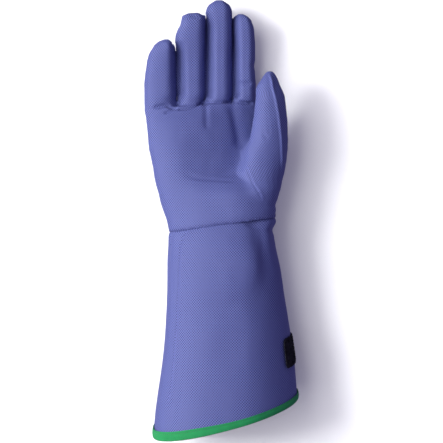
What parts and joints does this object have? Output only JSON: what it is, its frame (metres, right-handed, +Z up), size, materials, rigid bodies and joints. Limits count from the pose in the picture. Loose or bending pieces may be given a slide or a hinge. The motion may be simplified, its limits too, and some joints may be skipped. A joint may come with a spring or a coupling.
{
  "type": "cryogenic glove",
  "caption": "Padded right-hand glove for work with very cold liquids, with a long flared gauntlet cuff, a green bound hem and a black hook-and-loop patch, lying palm up.",
  "frame": {"origin": "on the surface that the glove lies on, under the middle of its box", "axes": "+Y from the cuff to the fingertips, +X towards the thumb side, +Z up out of the palm"},
  "size_m": [0.1442, 0.4056, 0.0914],
  "materials": {
    "cloth": "coated woven cloth, blue, half matt",
    "binding": "green woven tape, matt",
    "hook_loop": "black looped pile, matt"
  },
  "bodies": {
    "root": {"palm": "cloth", "little_finger": "cloth", "ring_finger": "cloth", "middle_finger": "cloth", "index_finger": "cloth", "thumb": "cloth", "cuff": "cloth", "hem_binding": "binding", "hook_loop_tab": "hook_loop"}
  },
  "joints": []
}
